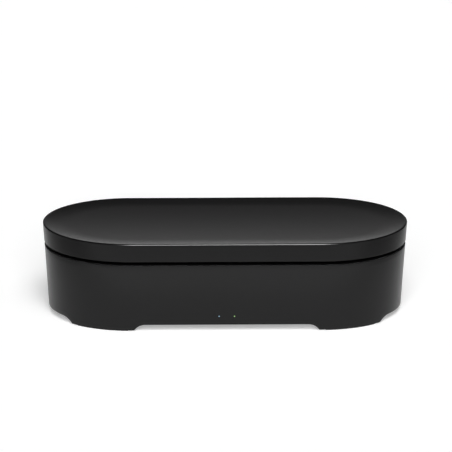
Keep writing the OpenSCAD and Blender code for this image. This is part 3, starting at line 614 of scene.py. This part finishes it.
dish_r = np.concatenate([
    np.linspace(0, dish_core_r, 24), np.linspace(dish_core_r, crest_r, 26)[1:]])
unit_r, unit_z = arc(0, 0, 1, 90, 0, 20)
rim_r, rim_arc_z = crest_r + rim_reach * unit_r, rim_z - rim_drop + rim_drop * unit_z
wall_share = np.linspace(0, 1, 9)[None, 1:-1]
wall_top = rim_z - rim_drop
outer_low_z = lower_edge + edge_radius
outer_z = wall_top + (outer_low_z - wall_top) * wall_share
edge_r, edge_z = arc(-edge_radius, edge_radius, edge_radius, 0, -90, 5)
under_r = np.linspace(lid_radius(wall_top) - wall - inner_corner, 0, 24)
outer_edge_r = lid_radius(outer_low_z) + edge_r[None, :]
outer_edge_z = lower_edge + edge_z[None, :]
inner_edge_r = lid_radius(outer_low_z) - wall - edge_r[None, ::-1]
whole = np.ones((len(lid_columns[0]), 1))
inner_z = np.concatenate([outer_low_z, whole * (wall_top - inner_drop)], axis=1)
lid_distance = np.concatenate([
    whole * dish_r, whole * rim_r[1:], lid_radius(outer_z), outer_edge_r, inner_edge_r,
    lid_radius(inner_z[:, 1:]) - wall, whole * under_r], axis=1)
lid_height = np.concatenate([
    whole * dish_height(dish_r), whole * rim_arc_z[1:], outer_z, outer_edge_z,
    outer_edge_z[:, ::-1], inner_z[:, 1:], whole * (dish_height(under_r) - dish_wall)], axis=1)
lid_mesh = swept_mesh("lid casing", lid_columns, lid_distance, lid_height, loop=False)
smooth(lid_mesh)
new_piece("lid_casing", lid_mesh, lid_black, "lid", "lid_plastic", "lid_shell")

# %% [markdown]
# ## The body's casing
#
# The body's outline is a tall thin loop: the leaning wall, a lip round the top, the ledge
# on which the tub hangs, the inside, and the skirt's lower edge. The lower edge isn't
# level. Between the feet it rises in a long flat gap with round corners, and a gap's
# height is a formula in x at the front and rear, and in y at the ends. The top edge drops
# at the rear, where the hinges need room. The sweep only needs these heights per column.

# %% The body
cutout_top = 3.9 * MM
cutout_radius = 8 * MM
foot_reach = 1.3 * MM                         # of each foot past the end of the spine
end_cutout_half = 35 * MM
relief_half = 48 * MM                         # the lowered top edge at the rear: half its length,
relief_z = 40.4 * MM                          # and its height
shelf_z = body_top_z - 1.2 * MM               # the step inside the top edge
shelf_r = body_top_r - 1.1 * MM
ledge_low = 6.4 * MM                          # the ledge low down inside
ledge_high = 7.6 * MM
ledge_r = body_radius(ledge_low) - wall - 1.4 * MM


def gap_height(across, half):
    """The skirt's lower edge at a distance from a gap's middle."""
    corner_run = np.sqrt(cutout_radius ** 2 - (cutout_radius - cutout_top + body_bottom_z) ** 2)
    past_flat = np.clip(np.abs(across) - (half - corner_run), 0, corner_run)
    height = cutout_top - cutout_radius + np.sqrt(cutout_radius ** 2 - past_flat ** 2)
    return np.where(np.abs(across) >= half, body_bottom_z, height)


corner_angle = np.linspace(0, np.pi / 2, 16)
corner_x = spine - foot_reach - cutout_radius + cutout_radius * np.sin(corner_angle)
side_step = 0.02 * MM
relief_x = [relief_half - side_step, relief_half + side_step]
body_x = np.concatenate([straight_x, corner_x, relief_x])
fine_angle = np.radians(np.linspace(33, 45, 49))          # the corners of the end gaps lie here
body_columns = stadium_columns(body_x, np.concatenate([end_angle, fine_angle]))
body_spine, body_out = body_columns


def skirt_edge(r):
    """The skirt's lower edge for every column, at one distance from the spine."""
    x = body_spine[:, 0] + body_out[:, 0] * r
    y = body_out[:, 1] * r
    straight = np.abs(body_out[:, 0]) < 1e-6
    long_gap = np.where(straight, gap_height(x, spine - foot_reach), body_bottom_z)
    end_gap = np.where(straight, body_bottom_z, gap_height(y, end_cutout_half))
    return np.maximum(long_gap, end_gap)[:, None]


faces_rear = (body_out[:, 1] > 0.5) & (np.abs(body_out[:, 0]) < 1e-6)
at_relief = faces_rear & (np.abs(body_spine[:, 0]) < relief_half)
top_limit = np.where(at_relief, relief_z, body_top_z)[:, None]
skirt_r = body_radius(body_bottom_z)
skirt_radius = 0.12 * MM
outer_low = skirt_edge(skirt_r) + skirt_radius
inner_low = skirt_edge(skirt_r - wall) + skirt_radius
lip_edge = 0.06 * MM
outer_top = top_limit - lip_edge
body_outer_z = outer_low + (outer_top - outer_low) * np.linspace(0, 1, 13)[None, :]
lip_r, lip_z = arc(-lip_edge, 0, lip_edge, 0, 90, 4)
skirt_arc_r, skirt_arc_z = arc(-skirt_radius, 0, skirt_radius, 0, -90, 4)
rows = np.ones((len(body_spine), 1))
lip_height = outer_top + lip_z[None, 1:]
lip_distance = body_radius(outer_top) + lip_r[None, 1:]
shelf_height = np.minimum(np.array([[body_top_z, shelf_z, shelf_z]]), top_limit)
shelf_distance = rows * np.array([[shelf_r, shelf_r, body_radius(shelf_z) - wall]])
ledge_height = rows * np.array([[ledge_high, ledge_high, ledge_low, ledge_low]])
ledge_distance = rows * np.array([[
    body_radius(ledge_high) - wall, ledge_r, ledge_r, body_radius(ledge_low) - wall]])
inner_low_r = body_radius(inner_low) - wall
body_distance = np.concatenate([
    body_radius(outer_low) + skirt_arc_r[None, :0:-1], body_radius(body_outer_z), lip_distance,
    shelf_distance, ledge_distance, inner_low_r, inner_low_r - skirt_arc_r[None, 1:]], axis=1)
body_height = np.concatenate([
    outer_low + skirt_arc_z[None, :0:-1], body_outer_z, lip_height,
    shelf_height, ledge_height, inner_low, inner_low + skirt_arc_z[None, 1:]], axis=1)
body_mesh = swept_mesh("body casing", body_columns, body_distance, body_height)


# %% [markdown]
# ## Holes in the body's wall
#
# Four holes go through the straight parts of the wall: two for the indicators, one for the
# start button and one for the power inlet. A Boolean cut is clean there, because the wall
# is flat. The cutters are centred on the nodes that sit in the holes: turned profiles for
# the round holes, and an oblong prism for the inlet.


# %% Cut the holes
def turned_cutter(name, centre, outline, steps=48):
    """A closed solid of revolution about a line along Y, from (distance along Y, radius) pairs."""
    along, radius = np.array(outline).T
    angle = np.linspace(0, 2 * np.pi, steps, endpoint=False)
    points = np.stack([
        centre.x + radius[:, None] * np.cos(angle), along[:, None] + 0 * angle,
        centre.z + radius[:, None] * np.sin(angle)], axis=2)
    ring = np.arange(len(along) * steps).reshape(len(along), steps)
    onward = np.roll(ring, -1, axis=1)
    sides = np.stack([ring[:-1], onward[:-1], onward[1:], ring[1:]], axis=2)
    faces = sides.reshape(-1, 4).tolist() + [ring[0].tolist(), ring[-1][::-1].tolist()]
    return faced_mesh(name, points.reshape(-1, 3).tolist(), faces)


def slot_cutter(name, centre, half_long, radius, near, far, steps=16):
    """An oblong prism along Y: two half rounds joined by flats."""
    turn = np.linspace(-np.pi / 2, np.pi / 2, steps)
    right = np.column_stack([half_long - radius + radius * np.cos(turn), radius * np.sin(turn)])
    loop = np.vstack([right, -right])
    points = [(centre.x + x, y, centre.z + z) for y in (near, far) for x, z in loop]
    count = len(loop)
    around = [(i, (i + 1) % count, (i + 1) % count + count, i + count) for i in range(count)]
    ends = [tuple(range(count)), tuple(range(2 * count - 1, count - 1, -1))]
    return faced_mesh(name, points, around + ends)


def cut(mesh, cutters):
    """The mesh with every cutter taken out of it."""
    target = bpy.data.objects.new("cut target", mesh)
    bpy.context.scene.collection.objects.link(target)
    knives = []
    for cutter in cutters:
        knife = bpy.data.objects.new(cutter.name, cutter)
        bpy.context.scene.collection.objects.link(knife)
        boolean = target.modifiers.new(cutter.name, "BOOLEAN")
        boolean.operation = "DIFFERENCE"
        boolean.solver = "EXACT"
        boolean.object = knife
        knives.append(knife)
    evaluated = target.evaluated_get(bpy.context.evaluated_depsgraph_get())
    result = bpy.data.meshes.new_from_object(evaluated)
    for extra in [target, *knives]:
        bpy.data.objects.remove(extra)
    return result


lens_radius = 0.65 * MM
lens_mouth = 0.9 * MM                         # the hole is a little wider at the wall's face
mouth_depth = 0.25 * MM
button_hole = 3.3 * MM
inlet_play = 0.25 * MM
past_wall = 2 * wall                          # how far a cutter reaches past the wall's face
cutters = []
for name in ("sanitize_light_pipe", "charge_light_pipe"):
    centre = middle(name)
    face_y = -body_radius(centre.z)
    cutters.append(turned_cutter("hole for " + name, centre, [
        (face_y - 1 * MM, lens_mouth + 1 * MM), (face_y, lens_mouth),
        (face_y + mouth_depth, lens_radius), (face_y + past_wall, lens_radius)]))
button = middle("start_button")
button_y = body_radius(button.z)
cutters.append(turned_cutter("hole for the start button", button, [
    (button_y - past_wall, button_hole), (button_y + past_wall, button_hole)]))
inlet = middle("power_inlet")
inlet_y = body_radius(inlet.z)
inlet_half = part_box("power_inlet")[1] - inlet
cutters.append(slot_cutter("hole for the inlet", inlet, inlet_half.x + inlet_play,
                           inlet_half.z + inlet_play, inlet_y - past_wall, inlet_y + past_wall))
cut_mesh = cut(body_mesh, cutters)
smooth(cut_mesh)
new_piece("body_casing", cut_mesh, body_black, "base", "body_plastic", "body_shell")

# %% [markdown]
# ## The floor
#
# The box stands on a plain pale floor. It is a wide disc with a white matt material. A
# little light is added to what the camera and the glass see of it, so that it reads as
# white where nothing shades it, and it keeps the box's soft shadow. The glossy walls
# mirror the floor too. Near the box they mirror cards that lie out of the picture: a white
# one in front and one behind, which draw the soft light band across the body, and a dark
# one at each end, which keeps the round ends of the lid from turning pale. From below, the
# floor isn't there at all, and under the box it lets light through, so the base plate and
# its screws can be looked at.

# %% Floor
black, white = (0.0, 0.0, 0.0), (1.0, 1.0, 1.0)
floor_radius = 6.0
turn = np.linspace(0, 2 * np.pi, 96, endpoint=False)
floor_mesh = bpy.data.meshes.new("floor")
floor_points = np.column_stack([floor_radius * np.cos(turn), floor_radius * np.sin(turn), 0 * turn])
floor_mesh.from_pydata(floor_points.tolist(), [], [list(range(len(turn)))])
floor = bpy.data.objects.new("floor", floor_mesh)
bpy.context.scene.collection.objects.link(floor)
floor_grey = [0.82] * 3
dark_card_grey = [0.36] * 3
floor_lift = 0.33                             # light added where the floor is looked at,
card_lift = 0.43                              # and where a white card is mirrored
floor_paint = Paint("floor white", roughness=0.9, specular_ior_level=0.1)
camera_ray = floor_paint.add("ShaderNodeLightPath", output="Is Camera Ray")
glossy_ray = floor_paint.add("ShaderNodeLightPath", output="Is Glossy Ray")
glass_ray = floor_paint.add("ShaderNodeLightPath", output="Is Transmission Ray")
ground = floor_paint.place()
behind = floor_paint.axis(ground, "Y")
ahead = behind * -1
beside = floor_paint.axis(ground, "X").absolute()
reach = (behind ** 2 + beside ** 2) ** 0.5

# Each card starts at one distance in metres, and is full at the next.
front_card = ahead.rise(0.10, 0.14) * (1.0 - ahead.rise(0.14, 0.20))
rear_card = behind.rise(0.09, 0.17) * 2 * (1.0 - beside.rise(0.07, 0.12))
dark_cards = beside.rise(0.17, 0.2533) * (1.0 - beside.rise(0.35, 0.475))
far_floor = reach.rise(0.5, 0.7)

floor_paint.put("Base Color", floor_paint.mix(glossy_ray * dark_cards, floor_grey, dark_card_grey))
looked_at = (camera_ray + glass_ray + glossy_ray * far_floor).clamp()
seen = looked_at * floor_lift + glossy_ray * (front_card + rear_card) * card_lift
floor_paint.put("Emission Color", floor_paint.mix(seen, black, white))
floor_paint.put("Emission Strength", 1.0)
below_base = 1.0 - spine_distance(floor_paint).rise(half_width - 7 * MM, half_width - 6 * MM)
from_below = floor_paint.add("ShaderNodeNewGeometry", output="Backfacing")
absent = (from_below + below_base * (1.0 - camera_ray)).clamp()
surface = Wire(floor_paint, floor_paint.shader.outputs["BSDF"])
nothing = floor_paint.add("ShaderNodeBsdfTransparent")
shown = floor_paint.add("ShaderNodeMixShader", None, {0: absent, 1: surface, 2: nothing})
floor_paint.join(shown, floor_paint.tree.nodes["Material Output"].inputs["Surface"])
floor_mesh.materials.append(floor_paint.material)

# %% [markdown]
# ## Light
#
# Three soft lamps stand in front of the box: a low one, a higher one and a weak one to the
# side. They make the soft shadow round the feet and the thin bright line on the lid's front
# rim. The surroundings are a plain studio, bright at the horizon, grey above it and dark
# overhead, and darker to the left and right. The dish mirrors them as a gradient from its
# bright front edge to its dark rear. Where the camera sees past the floor, they are white.


# %% Lamps and surroundings
softbox_width = np.radians(28)


def distant_softbox(name, elevation, side, strength, mirrored=True):
    """A soft lamp in front of the box, far away, so that it lights the whole floor evenly."""
    lamp = bpy.data.lights.new(name, "SUN")
    lamp.angle = softbox_width
    lamp.energy = strength
    holder = bpy.data.objects.new(name, lamp)
    holder.visible_glossy = mirrored
    bpy.context.scene.collection.objects.link(holder)
    rise, turn = np.radians(elevation), np.radians(side)
    towards = Vector((-np.sin(turn) * np.cos(rise), np.cos(turn) * np.cos(rise), -np.sin(rise)))
    holder.rotation_euler = towards.to_track_quat("-Z", "Y").to_euler()


distant_softbox("front softbox", 26, 0, 2.31, mirrored=False)
distant_softbox("upper softbox", 52, 5, 1.66)
distant_softbox("side softbox", 60, 35, 0.27)


class Sky(Paint):
    """The world's nodes, made with the same helpers as a material's."""

    def __init__(self, name):
        world = bpy.data.worlds.new(name)
        bpy.context.scene.world = world
        world.use_nodes = True
        self.tree = world.node_tree
        self.shader = self.tree.nodes["Background"]


studio = Sky("studio")
direction = studio.add("ShaderNodeTexCoord", output="Generated")
height = studio.axis(direction, "Z") * 0.5 + 0.5          # 0 straight down, 0.5 the horizon, 1 up
greys = [(0.0, 1.0), (0.49, 1.0), (0.50, 1.2), (0.535, 0.384),       # each a height and its grey
         (0.605, 0.384), (0.64, 0.05), (1.0, 0.05)]
stops = [(level_up, (grey, grey, grey)) for level_up, grey in greys]
walls = studio.add("ShaderNodeValToRGB", {"stops": stops}, {0: height})
side_start = 0.06                             # how far to the side the dimming starts,
side_slope = 3.3                              # how fast it grows from there,
most_dimmed = 0.75                            # and where it stops
to_the_side = (studio.axis(direction, "X").absolute() - side_start) * side_slope
dimmed = (to_the_side * height.rise(0.49, 0.50)).clamp(0.0, most_dimmed)
lit_walls = studio.mix(1.0 - dimmed, black, walls)
straight_look = studio.add("ShaderNodeLightPath", output="Is Camera Ray")
through_glass = studio.add("ShaderNodeLightPath", output="Is Transmission Ray")
studio.put("Color", studio.mix((straight_look + through_glass).clamp(), lit_walls, white))
studio.put("Strength", 1.0)

# %% [markdown]
# ## Camera
#
# The photograph was taken from far away with a long lens, a little above the box and very
# slightly to its left. The camera looks at a point near the middle of the lid. Its lens
# follows from how many pixels a metre takes up in the frame at that point.

# %% Camera
frame_px = 452
pixels_per_metre = 1619
camera_distance = 4.0
camera_pitch = np.radians(15.52)
camera_yaw = np.radians(1.352)
camera_roll = np.radians(0.119)
look_at = Vector((0.58 * MM, 0, 52.45 * MM))
forward = Vector((
    np.sin(camera_yaw) * np.cos(camera_pitch),
    np.cos(camera_yaw) * np.cos(camera_pitch),
    -np.sin(camera_pitch)))
level = Vector((np.cos(camera_yaw), -np.sin(camera_yaw), 0))
upright = level.cross(forward)
right = level * np.cos(camera_roll) + upright * np.sin(camera_roll)
up = upright * np.cos(camera_roll) - level * np.sin(camera_roll)
lens = bpy.data.cameras.new("photo camera")
lens.sensor_width = 36
lens.lens = lens.sensor_width * pixels_per_metre * camera_distance / frame_px
lens.clip_end = 50
camera = bpy.data.objects.new("photo camera", lens)
bpy.context.scene.collection.objects.link(camera)
camera.matrix_world = Matrix.Translation(look_at - forward * camera_distance) @ Matrix(
    (right, up, -forward)).transposed().to_4x4()
bpy.context.scene.camera = camera
bpy.context.scene.view_settings.view_transform = "Standard"
print("lens", round(lens.lens, 1), "mm")
